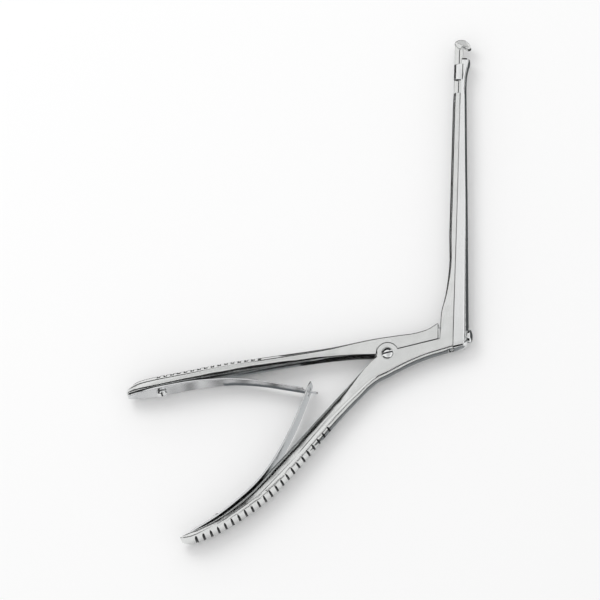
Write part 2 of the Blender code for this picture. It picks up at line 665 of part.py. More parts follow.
def make_front_leaf():
    leaf = make_leaf("front_leaf", FRONT_LEAF, 15)
    start = Vector((FRONT_LEAF[-1][0], FRONT_LEAF[-1][1], 0))
    end = Vector((*FRONT_LINK_END, 0))
    run = (end - start).normalized()
    across = Vector((run.y, -run.x, 0)) * LEAF_TIP_THICKNESS / 2
    rows = []
    for share, width in ((-0.12, LINK_TONGUE_WIDTH + 1.2), (0.06, LINK_TONGUE_WIDTH), (0.9, LINK_TONGUE_WIDTH),
                         (1.0, LINK_TONGUE_WIDTH - 1.0)):
        spot = start.lerp(end, share)
        rows.append(((spot - across * 0.96).x, (spot - across * 0.96).y,
                     (spot + across * 0.96).x, (spot + across * 0.96).y, width, 0.15, 0.15, 0.1))
    join(leaf, loft([ring(row, 1) for row in rows]))
    cut(leaf, countersink(FRONT_SPRING_SCREW, leaf_normal(FRONT_LEAF, FRONT_SPRING_SCREW, 1)))
    return leaf


def make_rear_leaf():
    leaf = make_leaf("rear_leaf", REAR_LEAF, 21)
    window = LINK_TONGUE_WIDTH / 2 + GAP
    x, y = LINK_CROSSING
    cut(leaf, box((x - 4, y - 1.9, -window), (x + 4, y + 1.9, window)))
    cut(leaf, countersink(REAR_SPRING_SCREW, leaf_normal(REAR_LEAF, REAR_SPRING_SCREW, -1)))
    return leaf


def spring_hole(spot, normal):
    """Blind hole in a handle for a spring screw."""
    radius = SPRING_SHANK_RADIUS + GAP
    foot = Vector((*spot, 0)) + normal * 1.0
    return turned([(radius, 0.0), (radius, 4.2)], foot, -normal, 28)


def countersink(spot, normal):
    """Cone through a leaf that takes the head of its screw."""
    small = SPRING_SHANK_RADIUS + GAP
    large = SPRING_HEAD_RADIUS + GAP
    cone = SPRING_SEAT - 0.8
    foot = Vector((*spot, 0)) - normal * 2.0
    return turned([(small, 0.0), (small, cone), (large, cone + COUNTERSINK_RISE), (large, 5.0)], foot, normal, 28)


def make_spring_screw(name, spot, normal, slot_along):
    foot = Vector((*spot, 0)) - normal * 2.6
    rows = [(SPRING_SHANK_RADIUS, 0.0), (SPRING_SHANK_RADIUS, SPRING_SEAT),
            (SPRING_HEAD_RADIUS, SPRING_SEAT + COUNTERSINK_RISE)]
    rows += dome(SPRING_HEAD_RADIUS - 0.05, SPRING_SEAT + COUNTERSINK_RISE + 0.05, SPRING_DOME_RISE)
    screw = as_object(name, turned(rows, foot, normal, 32))
    top = SPRING_SEAT + COUNTERSINK_RISE + SPRING_DOME_RISE
    cut(screw, slot_cutter(foot + normal * top, normal, slot_along, 4, 0.8))
    return screw


# Colours and the finished scene

def paint(thing, name, colour, roughness):
    material = bpy.data.materials.new(name)
    material.use_nodes = True
    shader = material.node_tree.nodes["Principled BSDF"]
    shader.inputs["Base Color"].default_value = (*colour, 1.0)
    shader.inputs["Metallic"].default_value = 1.0
    shader.inputs["Roughness"].default_value = roughness
    thing.data.materials.clear()
    thing.data.materials.append(material)


def tidy(thing):
    """Merges faces that lie in one plane and shades only real curves smooth."""
    bm = bmesh.new()
    bm.from_mesh(thing.data)
    bmesh.ops.remove_doubles(bm, verts=bm.verts, dist=0.002 * MM)
    bmesh.ops.dissolve_degenerate(bm, dist=0.002 * MM, edges=bm.edges)
    bmesh.ops.recalc_face_normals(bm, faces=bm.faces)
    bm.to_mesh(thing.data)
    bm.free()
    thing.data.shade_smooth()
    thing.data.set_sharp_from_angle(angle=math.radians(32))


def set_origin(thing, x, y):
    """Moves an object's origin onto its axis without moving its surface."""
    spot = Vector((x, y, 0.0)) * MM
    thing.data.transform(Matrix.Translation(-spot))
    thing.location = spot


def lay_on_table(things):
    """Centres the instrument over the origin and puts its lowest point on Z = 0."""
    corners = [thing.location + vertex.co for thing in things for vertex in thing.data.vertices]
    low = Vector(min(c[k] for c in corners) for k in range(3))
    high = Vector(max(c[k] for c in corners) for k in range(3))
    shift = Vector((-(low.x + high.x) / 2, -(low.y + high.y) / 2, -low.z))
    for thing in things:
        thing.location = thing.location + shift


def main():
    for thing in list(bpy.data.objects):
        bpy.data.objects.remove(thing)
    steel = (0.78, 0.79, 0.79)
    spring_steel = (0.72, 0.73, 0.73)
    bright = (0.85, 0.85, 0.85)
    front_normal = leaf_normal(FRONT_LEAF, FRONT_SPRING_SCREW, 1)
    rear_normal = leaf_normal(REAR_LEAF, REAR_SPRING_SCREW, -1)
    pieces = [
        (make_fixed_shaft(), steel, 0.28, (0, 0)),
        (make_front_handle(), steel, 0.28, (0, 0)),
        (make_slider(), steel, 0.24, (DOG_X, DOG_Y)),
        (make_pivot_screw(), bright, 0.18, (0, 0)),
        (make_slider_screw(), bright, 0.18, (DOG_X, DOG_Y)),
        (make_front_leaf(), spring_steel, 0.32, (0, 0)),
        (make_rear_leaf(), spring_steel, 0.32, (0, 0)),
        (make_spring_screw("front_spring_screw", FRONT_SPRING_SCREW, front_normal, (0, 0, 1)),
         bright, 0.2, FRONT_SPRING_SCREW),
        (make_spring_screw("rear_spring_screw", REAR_SPRING_SCREW, rear_normal,
                           (rear_normal.y, -rear_normal.x, 0)), bright, 0.2, REAR_SPRING_SCREW),
    ]
    for thing, colour, roughness, spot in pieces:
        tidy(thing)
        paint(thing, f"{thing.name}_steel", colour, roughness)
        set_origin(thing, *spot)
    lay_on_table([piece[0] for piece in pieces])


main()
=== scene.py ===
# %% [markdown]
# # A bone punch on a white table
#
# A bone punch is a steel plier with a long nose. Squeezing its two handles pushes a sliding
# shaft along a fixed one, and the shaft's sharp head bites bone against an up-turned foot.
# Two leaf springs, hooked into each other between the handles, open them again.
#
# This lesson takes the engineer's solid model of the instrument and turns it into a picture.
# It softens the corners the way a buffing wheel does, turns the screws afresh, gives each piece
# its own steel, and plans the room that the steel mirrors. Run the cells from top to bottom.

import json
import math

import bmesh
import bpy
from mathutils import Matrix, Vector
from mathutils.bvhtree import BVHTree


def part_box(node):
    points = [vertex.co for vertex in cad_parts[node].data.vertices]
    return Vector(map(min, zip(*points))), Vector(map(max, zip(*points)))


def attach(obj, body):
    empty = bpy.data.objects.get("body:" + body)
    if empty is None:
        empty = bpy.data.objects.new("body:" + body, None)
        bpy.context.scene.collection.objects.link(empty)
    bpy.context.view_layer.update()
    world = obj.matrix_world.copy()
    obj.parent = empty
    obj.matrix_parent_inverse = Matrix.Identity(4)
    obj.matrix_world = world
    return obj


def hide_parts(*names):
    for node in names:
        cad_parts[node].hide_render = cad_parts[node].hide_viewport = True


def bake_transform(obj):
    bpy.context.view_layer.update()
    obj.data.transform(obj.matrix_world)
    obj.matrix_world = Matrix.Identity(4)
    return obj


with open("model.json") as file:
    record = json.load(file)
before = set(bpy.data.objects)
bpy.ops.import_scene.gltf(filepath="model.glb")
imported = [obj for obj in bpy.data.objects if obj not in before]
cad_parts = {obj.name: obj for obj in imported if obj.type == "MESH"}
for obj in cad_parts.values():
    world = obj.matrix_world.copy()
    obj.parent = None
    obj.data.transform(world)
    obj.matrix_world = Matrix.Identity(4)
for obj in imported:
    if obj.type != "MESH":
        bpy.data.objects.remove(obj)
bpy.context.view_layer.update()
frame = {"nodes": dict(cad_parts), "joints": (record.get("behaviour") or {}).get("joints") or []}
MM = 0.001
hinge = next(joint for joint in frame["joints"] if joint["type"] == "hinge")
pivot = Vector(hinge["pos_m"])
print("pieces in the solid model:", sorted(frame["nodes"]))
print("joint in mm:", [round(value / MM, 1) for value in pivot])

# %% [markdown]
# ## Whole faces out of loose triangles
#
# The fixed shaft, the front handle, the sliding shaft and the two leaf springs have their true
# shape in the solid model. They could be modelled again, but a copy keeps every size as it was
# drawn. A solid arrives as a heap of loose triangles, and a corner can only be rounded where
# whole faces share it. So each copy has its doubled points merged, and triangles that lie in
# one plane become one face.

# %% Copy the five pieces that keep their shape
SAME_POINT = 0.003 * MM
SAME_PLANE = math.radians(0.6)


def new_object(name, bm):
    """Makes a finished bmesh an object of the scene."""
    mesh = bpy.data.meshes.new(name)
    bm.to_mesh(mesh)
    bm.free()
    thing = bpy.data.objects.new(name, mesh)
    bpy.context.scene.collection.objects.link(thing)
    return thing


def joined_copy(node):
    """A copy of a solid as one closed surface with whole flat faces."""
    bm = bmesh.new()
    bm.from_mesh(frame["nodes"][node].data)
    bmesh.ops.remove_doubles(bm, verts=bm.verts, dist=SAME_POINT)
    bmesh.ops.dissolve_limit(bm, angle_limit=SAME_PLANE, verts=bm.verts, edges=bm.edges)
    return new_object(f"{node}_polished", bm)


copies = {}
for node in ("fixed_shaft", "front_handle", "slider", "front_leaf", "rear_leaf"):
    copies[node] = joined_copy(node)
    triangles = len(frame["nodes"][node].data.polygons)
    print(f"{node}: {triangles} triangles became {len(copies[node].data.polygons)} faces")

# %% [markdown]
# ## File strokes on the front handle
#
# Both grips have grooves across their crowned backs, against slipping. On the front handle the
# photograph also shows a row of short dashes along the near corner, where the file ran out over
# it. The solid model's grooves stop short of that corner. Painted dashes would lie flat in the
# light, so one more stroke for each groove is cut there: small blocks, leaned as a file is that
# is held against the corner, are taken away with a boolean.

# %% Cut a stroke at each groove of the front handle
# The crest of each grooved back, as points in millimetres from the joint.
BACKS = {
    "fixed_shaft": [(-95.9, -96.9), (-87.8, -93.9), (-77.5, -88.7), (-61.2, -77.3),
                    (-49.3, -65.4), (-38.7, -52.6), (-27.2, -37.8)],
    "front_handle": [(-117.1, -9.0), (-100.9, -6.0), (-81.0, -2.3), (-62.8, 0.1)],
}
STROKES = 16
STROKE_SIZE = (1.8 * MM, 1.5 * MM, 2.8 * MM)
STROKE_LEAN = math.radians(35)
STROKE_INWARD = 1.6 * MM
STROKE_HEIGHT = 4.8 * MM


def from_pivot(x, y):
    """A point given in millimetres from the joint, at the joint's height."""
    return pivot + Vector((x, y, 0)) * MM


def set_along(spot, x, y, z):
    """The matrix that sets a shape at a spot, with its own axes along three directions."""
    return Matrix.Translation(spot) @ Matrix((x, y, z)).transposed().to_4x4()


def cut_away(thing, knife):
    """Cuts a knife's shape out of a piece for good, and removes the knife."""
    step = thing.modifiers.new("cut", "BOOLEAN")
    step.operation = "DIFFERENCE"
    step.solver = "EXACT"
    step.object = knife
    view = bpy.context.evaluated_depsgraph_get()
    shaped = bpy.data.meshes.new_from_object(thing.evaluated_get(view))
    thing.modifiers.clear()
    uncut, thing.data = thing.data, shaped
    blade = knife.data
    bpy.data.objects.remove(knife)
    bpy.data.meshes.remove(blade)
    bpy.data.meshes.remove(uncut)


def file_strokes(back):
    """Blocks at even steps along a handle's near corner, one for each stroke of the file."""
    corners = [from_pivot(*spot) for spot in back]
    lengths = [(b - a).length for a, b in zip(corners, corners[1:])]
    bm = bmesh.new()
    for k in range(STROKES):
        goal = sum(lengths) * (k + 0.5) / STROKES
        span = 0
        while goal > lengths[span]:
            goal -= lengths[span]
            span += 1
        run = (corners[span + 1] - corners[span]).normalized()
        level = Vector((-run.y, run.x, 0))
        out = level * math.cos(STROKE_LEAN) + Vector((0, 0, math.sin(STROKE_LEAN)))
        spot = corners[span] + run * goal - level * STROKE_INWARD + Vector((0, 0, STROKE_HEIGHT))
        place = set_along(spot, run, out, run.cross(out))
        bmesh.ops.create_cube(bm, size=1, matrix=place @ Matrix.Diagonal((*STROKE_SIZE, 1)))
    return new_object("file strokes", bm)


whole = len(copies["front_handle"].data.polygons)
cut_away(copies["front_handle"], file_strokes(BACKS["front_handle"]))
cut = len(copies["front_handle"].data.polygons)
print(f"{STROKES} file strokes made {cut - whole} new faces")

# %% [markdown]
# ## The walls of the grooves
#
# A buffing wheel can't reach into a groove cut by a file, so its walls keep crisp corners here and
# get a rougher steel later, painted dark for the shade in the groove. Picking so many small faces
# by hand would be slow, and lost when the solid model changes. They are found by their slope
# instead: near a handle's back, only the wall of a groove faces along the handle.

# %% Find the groove walls
BACK_REACH = 4.5 * MM
WALL_SLOPE = 0.3


def groove_walls(thing, back):
    """Faces near a handle's back that face along it, looked for span by span."""
    found = []
    corners = [from_pivot(*spot) for spot in back]
    for face in thing.data.polygons:
        spot = Vector((face.center.x, face.center.y, pivot.z))
        for start, end in zip(corners, corners[1:]):
            run = end - start
            share = (spot - start).dot(run) / run.length_squared
            away = (spot - start - run * share).length
            slope = abs(face.normal.dot(run.normalized()))
            if 0 <= share <= 1 and away < BACK_REACH and slope > WALL_SLOPE:
                found.append(face.index)
                break
    return found


grooves = {node: groove_walls(copies[node], back) for node, back in BACKS.items()}
print("faces in grooves:", {node: len(walls) for node, walls in grooves.items()})

# %% [markdown]
# ## Which corners the wheel rounds
#
# A solid model has knife-sharp corners. A finished tool has none: the last step at the maker's
# is a buffing wheel, which rounds each outer corner a little. That thin round catches the light
# as a bright or dark line along every edge, and does more for the picture than any colour.
#
# One width for all corners would run past the small faces and fold the surface over. So the
# room beside a corner is measured first, by the edges that leave its two ends. An edge that
# carries on in line with the corner takes no room.

# %% Measure the room beside a corner
ROOM_SHARE = 0.45
IN_LINE = -0.85


def room_beside(edge, width):
    """A width, narrowed to what the edges that leave a corner's two ends leave free."""
    for vert in edge.verts:
        along = (edge.other_vert(vert).co - vert.co).normalized()
        for other in vert.link_edges:
            away = other.other_vert(vert).co - vert.co
            if other is edge or away.dot(along) < IN_LINE * away.length:
                continue
            width = min(width, ROOM_SHARE * (away - along * away.dot(along)).length)
    return width


print(f"a corner may take up to {ROOM_SHARE:.0%} of the width of a face beside it")

# %% [markdown]
# ## Marking the corners
#
# Each outer corner is marked with its share of the full width, which a bevel reads as its
# weight. The marks could be set by hand in the editor, edge by edge, but there are hundreds.
# Where two pieces meet across a running gap, corners stay nearly sharp, as a fitter leaves
# them. A search tree of each solid finds which corners have such a neighbour.

# %% Mark a corner with its share of the rounding
SHARP = math.radians(30)
RUNNING_GAP = 0.6 * MM
FITTED_ROUNDING = 0.12
LEAST_SHARE = 0.08


def solid_tree(node):
    """Search tree of a solid, to find what lies close to it."""
    bm = bmesh.new()
    bm.from_mesh(frame["nodes"][node].data)
    tree = BVHTree.FromBMesh(bm)
    bm.free()
    return tree


def mark_corners(thing, node, rounding, kept_sharp):
    """Marks the outer corners for a rounding in millimetres, and counts the marked ones."""
    others = [tree for name, tree in trees.items() if name != node]
    bm = bmesh.new()
    bm.from_mesh(thing.data)
    mark = bm.edges.layers.float.new("bevel_weight_edge")
    marked = 0
    for edge in bm.edges:
        if not edge.is_manifold or not edge.is_convex or edge.calc_face_angle() < SHARP:
            continue
        if any(face.index in kept_sharp for face in edge.link_faces):
            continue
        middle = (edge.verts[0].co + edge.verts[1].co) / 2
        fitted = any(tree.find_nearest(middle, RUNNING_GAP)[0] is not None for tree in others)
        widest = min(rounding, FITTED_ROUNDING) if fitted else rounding
        share = room_beside(edge, widest * MM) / (rounding * MM)
        if share > LEAST_SHARE:
            edge[mark] = share
            marked += 1
    bm.to_mesh(thing.data)
    bm.free()
    return marked


trees = {node: solid_tree(node) for node in frame["nodes"]}
print("search trees:", len(trees))

# %% [markdown]
# ## Rounding the forgings and the sliding shaft
#
# The fixed shaft and the front handle are forgings and get the widest rounding. The sliding
# shaft is ground to fit, so it stays crisper. The rounding could be cut into the mesh, but as a
# Bevel modifier its width can still be changed. Smooth shading makes flat faces look swollen
# beside a round, so a Weighted Normal modifier lets the large faces decide the shading. Each
# finished piece then stands for its solid, and rides on the body that the solid moved with.

# %% Round, shade and put in place
ROUND_STEPS = 4
LARGE_FACES_LEAD = 80


def polished(thing, node, rounding, kept_sharp=()):
    """Rounds the marked corners by up to a width in millimetres, and shades the faces smooth."""
    marked = mark_corners(thing, node, rounding, set(kept_sharp))
    edges = thing.modifiers.new("edge round", "BEVEL")
    edges.width = rounding * MM
    edges.segments = ROUND_STEPS
    edges.limit_method = "WEIGHT"
    edges.miter_outer = "MITER_ARC"
    edges.use_clamp_overlap = False
    edges.loop_slide = False
    for face in thing.data.polygons:
        face.use_smooth = True
    flat = thing.modifiers.new("even shading", "WEIGHTED_NORMAL")
    flat.weight = LARGE_FACES_LEAD
    print(f"{node}: {marked} corners rounded by up to {rounding} mm")
    return thing


def stands_for(thing, node, body):
    """Lets a finished piece take a solid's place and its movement."""
    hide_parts(node)
    if body:
        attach(thing, body)


for node, body, slot, rounding in (
    ("fixed_shaft", "frame", "forged_steel", 0.55),
    ("front_handle", "lever", "forged_steel", 0.55),
    ("slider", "sliding_shaft", "slider_steel", 0.4),
):
    polished(copies[node], node, rounding, kept_sharp=grooves.get(node, ()))
    stands_for(copies[node], node, body)

# %% [markdown]
# ## Leaf springs
#
# Each spring is a strip of hardened steel, screwed to a handle at its wide end. The front one ends
# in a narrow tongue that passes through a window in the rear one, so the two push against each
# other. When the handles close, both bend. Here each is rounded and takes its solid's place where
# it lies. Nothing makes them bend; the cell only measures how far each root lies from the hook.

# %% Round the springs
SPRING_ROUNDING = 0.2
HOOK = (-39.7, -18.2)

for node, home, other, root in (
    ("front_leaf", "lever", "frame", (-97, -13)),
    ("rear_leaf", "frame", "lever", (-75, -77.5)),
):
    spring = polished(copies[node], node, SPRING_ROUNDING)
    start, middle = from_pivot(*root), from_pivot(*HOOK)
    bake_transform(spring)
    stands_for(spring, node, None)
    print(node, "bends over", round((middle - start).length / MM), "mm up to the hook")

# %% [markdown]
# ## A lathe for the screws
#
# Four screws hold the punch together. The solid model has them with few facets, and a bright
# round head shows every facet. So they are turned afresh, as on a lathe: half of a screw's
# outline is drawn beside the axis and spun once round it. Its head is a short rim with a low
# dome. A spin leaves doubled points where the outline touches the axis, and may turn the
# surface inside out, so the points are merged and the faces turned outward after it.

# %% Spin an outline into a screw
LATHE_STEPS = 96
DOME_STEPS = 14
RIM_CORNER = 0.1 * MM


def domed(radius, seat, rim, rise):
    """Outline of a screw head that sits at a height: a rim, and a dome closing on the axis."""
    outline = [(radius - RIM_CORNER, seat), (radius, seat + RIM_CORNER), (radius, seat + rim)]
    for step in range(1, DOME_STEPS + 1):
        turn = math.pi / 2 * step / DOME_STEPS
        reach = radius * math.cos(turn) if step < DOME_STEPS else 0.0
        outline.append((reach, seat + rim + rise * math.sin(turn)))
    return outline


def lathe(name, outline):
    """Spins an outline of (radius, height) points once round the upright axis."""
    bm = bmesh.new()
    row = [bm.verts.new((radius, 0, height)) for radius, height in outline]
    edges = [bm.edges.new(pair) for pair in zip(row, row[1:])]
    bmesh.ops.spin(bm, geom=row + edges, cent=(0, 0, 0), axis=(0, 0, 1),
                   angle=2 * math.pi, steps=LATHE_STEPS, use_merge=True, use_duplicate=False)
    bmesh.ops.remove_doubles(bm, verts=bm.verts, dist=0.001 * MM)
    bmesh.ops.recalc_face_normals(bm, faces=bm.faces)
    return new_object(name, bm)


print("one step of the lathe turns", 360 / LATHE_STEPS, "degrees")

# %% [markdown]
# ## The slot for the driver
#
# The slot is sawn across the finished head. It could be drawn dark on the dome, but then it would
# have no depth from the side. So a bar as wide as the slot, half above the top of the head and half
# in it, is taken away with a boolean. A saw leaves the walls and the floor rough, and little light
# gets in, so their steel is painted dark as that shade. They are found by where they face, and
# listed for a steel of their own.

# %% Saw a slot and finish a screw
SAW_LENGTH = 30 * MM
SQUARE_ON = 0.99
FLOOR_REACH = 0.01 * MM
SCREW_ROUNDING = 0.07
slots = {}


def slot_faces(screw, foot, across, up, floor):
    """The walls of a slot, and its floor at a height over the screw's foot."""
    found = []
    for face in screw.data.polygons:
        height = (face.center - foot).dot(up)
        wall = abs(face.normal.dot(across)) > SQUARE_ON and height > floor
        bottom = face.normal.dot(up) > SQUARE_ON and abs(height - floor) < FLOOR_REACH
        if wall or bottom:
            found.append(face.index)
    return found


def turned_screw(node, outline, foot, axis, slot_along, slot_width, slot_depth):
    """Turns a screw, stands it on its foot along its axis, and saws the slot."""
    top = outline[-1][1]
    saw = bmesh.new()
    bmesh.ops.create_cube(saw, size=1)
    bmesh.ops.scale(saw, verts=saw.verts, vec=(SAW_LENGTH, slot_width, 2 * slot_depth))
    bmesh.ops.translate(saw, verts=saw.verts, vec=(0, 0, top))
    screw, knife = lathe(f"{node}_turned", outline), new_object("saw", saw)
    up, run = Vector(axis).normalized(), Vector(slot_along).normalized()
    across = up.cross(run)
    for thing in (screw, knife):
        thing.data.transform(set_along(foot, run, across, up))
    cut_away(screw, knife)
    slots[node] = slot_faces(screw, foot, across, up, top - slot_depth)
    return polished(screw, node, SCREW_ROUNDING)


print("saw:", round(SAW_LENGTH / MM), "mm long, so that it passes over any head")

# %% [markdown]
# ## The joint screw
#
# It goes through both halves of the lap joint, and the front handle turns on its shank. Its
# slot stands a little aslant, as in the photograph. Sizes could be typed in again, but its
# length and its head's width come from the solid's box, so it fits the seat in the fixed shaft.

# %% Turn the joint screw
screws = {}
low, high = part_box("pivot_screw")
head = (high.x - low.x) / 2
rim, rise = 0.9 * MM, 1.0 * MM
seat = high.z - (rim + rise)
slant = math.radians(14)
shank = [(0.0, low.z), (1.4 * MM, low.z), (1.7 * MM, low.z + 0.3 * MM), (1.7 * MM, seat)]
screws["pivot_screw"] = turned_screw(
    "pivot_screw", shank + domed(head, seat, rim, rise),
    foot=Vector((pivot.x, pivot.y, 0)), axis=(0, 0, 1),
    slot_along=(math.cos(slant), math.sin(slant), 0), slot_width=0.75 * MM, slot_depth=0.8 * MM)
stands_for(screws["pivot_screw"], "pivot_screw", "frame")
print("joint screw's head:", round(2 * head / MM, 2), "mm across")

# %% [markdown]
# ## The screw on the slider's back
#
# This one drives the punch. It goes through the sliding shaft from behind, and its round point,
# called the dog, stands between the two prongs of the front handle's fork. So its outline has
# two diameters: the thin dog first, then the shank, then the head.

# %% Turn the slider's screw
low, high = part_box("slider_screw")
head = (high.z - low.z) / 2
middle = (low + high) / 2
rim, rise = 0.9 * MM, 1.25 * MM
seat = high.x - low.x - (rim + rise)
dog = [(0.0, 0.0), (1.2 * MM, 0.0), (1.5 * MM, 0.3 * MM), (1.5 * MM, 3.6 * MM)]
shank = [(1.9 * MM, 3.9 * MM), (1.9 * MM, seat)]
screws["slider_screw"] = turned_screw(
    "slider_screw", dog + shank + domed(head, seat, rim, rise),
    foot=Vector((low.x, middle.y, middle.z)), axis=(1, 0, 0),
    slot_along=(0, 1, 0), slot_width=0.8 * MM, slot_depth=0.9 * MM)
stands_for(screws["slider_screw"], "slider_screw", "sliding_shaft")
print("slider's screw's head:", round(2 * head / MM, 2), "mm across")

# %% [markdown]
# ## The two spring screws
#
# They hold the wide ends of the springs, each in a blind hole of its handle, and have a cone
# under the head. Only the front one shows in the photograph, side on: its head stands well
# clear of the spring. So both heads are turned about a millimetre taller than in the solid
# model. Each screw is set square to the inner face of its handle.

# %% Turn the spring screws
IN_THE_HANDLE = 2.6 * MM
SPRING_HEAD = 2.7 * MM
shank = [(0.0, 0.0), (1.3 * MM, 0.0), (1.3 * MM, 2.15 * MM), (2.4 * MM, 3.2 * MM)]
for node, body, spot, inner_face in (
    ("front_spring_screw", "lever", (-114.0, -16.0), (0.172, -0.985, 0)),
    ("rear_spring_screw", "frame", (-84.0, -84.95), (-0.576, 0.818, 0)),
):
    screws[node] = turned_screw(
        node, shank + domed(SPRING_HEAD, 3.3 * MM, rim=1.1 * MM, rise=0.9 * MM),
        foot=from_pivot(*spot) - Vector(inner_face) * IN_THE_HANDLE, axis=inner_face,
        slot_along=(0, 0, 1), slot_width=0.8 * MM, slot_depth=0.9 * MM)
    stands_for(screws[node], node, body)
    print(f"{node}: head {2 * SPRING_HEAD / MM:.1f} mm across")
print("slot faces:", {node: len(faces) for node, faces in slots.items()})

# %% [markdown]
# ## Colours and shader nodes
#
# Colours are written the way a colour picker shows them, as sRGB codes, but a shader counts in
# linear light, so one function turns one into the other. Materials could be clicked together
# in the shader editor. In a script, one small function that adds a node with its settings and
# its links keeps each recipe short enough to read.

# %% A colour and a node
def linear(code):
    """An sRGB colour code as the linear numbers a shader works with."""
    channels = [int(code[k:k + 2], 16) / 255 for k in (1, 3, 5)]
    return [c / 12.92 if c <= 0.04045 else ((c + 0.055) / 1.055) ** 2.4 for c in channels] + [1.0]


def add(tree, kind, links=None, **values):
    """Adds a shader node, sets its inputs by name and connects the sockets in links."""
    made = tree.nodes.new(kind)
    for key, value in values.items():
        if hasattr(made, key):
            setattr(made, key, value)
        else:
            made.inputs[key.replace("_", " ")].default_value = value
    for socket, source in (links or {}).items():
        tree.links.new(source, made.inputs[socket])
    return made


print("middle grey in linear light:", [round(c, 3) for c in linear("#808080")])

# %% [markdown]
# ## A recipe for steel
#
# All pieces are stainless steel, and the finish tells them apart. Three things make a finish:
# how blurred its reflections are, the fine grain that the last tool leaves, and slow waves left
# by hammer and wheel, which make the reflections wander. A flat metal without grain and waves
# looks like plastic foil. Two noise patterns give both: the fine one changes the gloss and adds
# a little relief, and the slow one adds a relief that is long and shallow.
#
# Forgings are glass-beaded and lightly buffed, the slider is ground along its length, springs are
# polished strip, and screw heads are the brightest. Grooves and slots stay rough as they were cut,
# and their steel is painted dark for the shade inside them.

# %% Mix a steel
def steel(name, colour, roughness, spread, grain_per_mm, grain_depth, waves_per_mm, wave_depth):
    """Stainless steel with a roughness and its spread, a grain and waves, depths in mm."""
    material = bpy.data.materials.new(name)
    material.use_nodes = True
    tree = material.node_tree
    shader = tree.nodes["Principled BSDF"]
    shader.inputs["Base Color"].default_value = linear(colour)
    shader.inputs["Metallic"].default_value = 1.0
    place = add(tree, "ShaderNodeTexCoord")
    stretched = add(tree, "ShaderNodeMapping", {"Vector": place.outputs["Object"]},
                    Scale=[count / MM for count in grain_per_mm])
    fine = add(tree, "ShaderNodeTexNoise", {"Vector": stretched.outputs["Vector"]},
               Scale=1.0, Detail=3.0, Roughness=0.6)
    slow = add(tree, "ShaderNodeTexNoise", {"Vector": place.outputs["Object"]},
               Scale=waves_per_mm / MM, Detail=2.0, Roughness=0.5)
    gloss = add(tree, "ShaderNodeMapRange", {"Value": fine.outputs["Fac"]},
                From_Min=0.3, From_Max=0.7, To_Min=roughness - spread, To_Max=roughness + spread)
    tree.links.new(gloss.outputs["Result"], shader.inputs["Roughness"])
    waves = add(tree, "ShaderNodeBump", {"Height": slow.outputs["Fac"]},
                Strength=1.0, Distance=wave_depth * MM)
    grain = add(tree, "ShaderNodeBump",
                {"Height": fine.outputs["Fac"], "Normal": waves.outputs["Normal"]},
                Strength=1.0, Distance=grain_depth * MM)
    tree.links.new(grain.outputs["Normal"], shader.inputs["Normal"])
    return material


# Forging, glass-beaded and then lightly buffed: soft reflections that wander along the hammered
# sides. A bead's dimple is finer than the picture shows, so six are drawn to the millimetre.
satin = steel("satin forged stainless steel", "#E1E2E1", roughness=0.22, spread=0.03,
              grain_per_mm=(6, 6, 6), grain_depth=0.004, waves_per_mm=0.06, wave_depth=0.45)
# Ground slider: brighter, with scratches from the wheel drawn out along the shaft. They are
# drawn about a tenth of a millimetre wide, coarser than real ones, so that they show at all.
ground = steel("ground stainless steel", "#E9EAEA", roughness=0.19, spread=0.04,
               grain_per_mm=(9, 0.6, 9), grain_depth=0.004, waves_per_mm=0.04, wave_depth=0.12)
# Polished spring strip: clearer reflections, rippled slightly every centimetre by its bending.
strip = steel("polished spring steel", "#DCDDDE", roughness=0.16, spread=0.03,
              grain_per_mm=(5, 2, 5), grain_depth=0.003, waves_per_mm=0.09, wave_depth=0.3)
# Polished screw heads: the clearest and brightest reflections.
bright = steel("polished stainless steel", "#E8E9E9", roughness=0.1, spread=0.02,
               grain_per_mm=(8, 8, 8), grain_depth=0.002, waves_per_mm=0.1, wave_depth=0.05)
# Grooves and slots as file and saw cut them: rough, and painted darker than the steel as shade.
filed_and_shaded = steel("file-cut steel with painted shade", "#343536", roughness=0.5, spread=0.05,
              grain_per_mm=(6, 6, 6), grain_depth=0.01, waves_per_mm=0.06, wave_depth=0.1)
print("finishes:", [material.name for material in (satin, ground, strip, bright, filed_and_shaded)])

# %% [markdown]
# ## Which piece has which finish
#
# A finish belongs to a whole piece, apart from the faces that a file or a saw has cut. Those
# get the second material of their piece, by the lists made above. The rounded corners need no
# list: each takes its material from the faces beside it.

# %% Give each piece its finish
def give_finish(thing, finish, cut_faces=()):
    """Covers a piece with one finish, and its faces cut by file or saw with the rough one, painted
    dark for their shade.
    """
    thing.data.materials.clear()
    thing.data.materials.append(finish)
    if cut_faces:
        thing.data.materials.append(filed_and_shaded)
    for index in cut_faces:
        thing.data.polygons[index].material_index = 1


for node, walls in grooves.items():
    give_finish(copies[node], satin, walls)
give_finish(copies["slider"], ground)
for node in ("front_leaf", "rear_leaf"):
    give_finish(copies[node], strip)
for node, screw in screws.items():
    give_finish(screw, bright, slots[node])
for thing in (*copies.values(), *screws.values()):
    print(thing.name, [material.name for material in thing.data.materials])

# %% [markdown]
# ## The table
#
# The punch lies on a plain white table, which keeps the soft shadow that shows where it
# touches. A sheet of paper doesn't shine, so its shader has no gloss at all. The table is part
# of the stage and not of the punch.

# %% Lay the table
PAPER_ROUGHNESS = 0.9
TABLE_REACH = 6


def paper(name, colour):
    """Matt paper in one colour."""
    material = bpy.data.materials.new(name)
    material.use_nodes = True
    shader = material.node_tree.nodes["Principled BSDF"]
    shader.inputs["Base Color"].default_value = linear(colour)
    shader.inputs["Roughness"].default_value = PAPER_ROUGHNESS
    shader.inputs["Specular IOR Level"].default_value = 0.0
    return material


def stage_object(name, bm, material):
    """Adds an object to the stage round the punch."""
    thing = new_object(name, bm)
    thing.data.materials.append(material)
    return thing


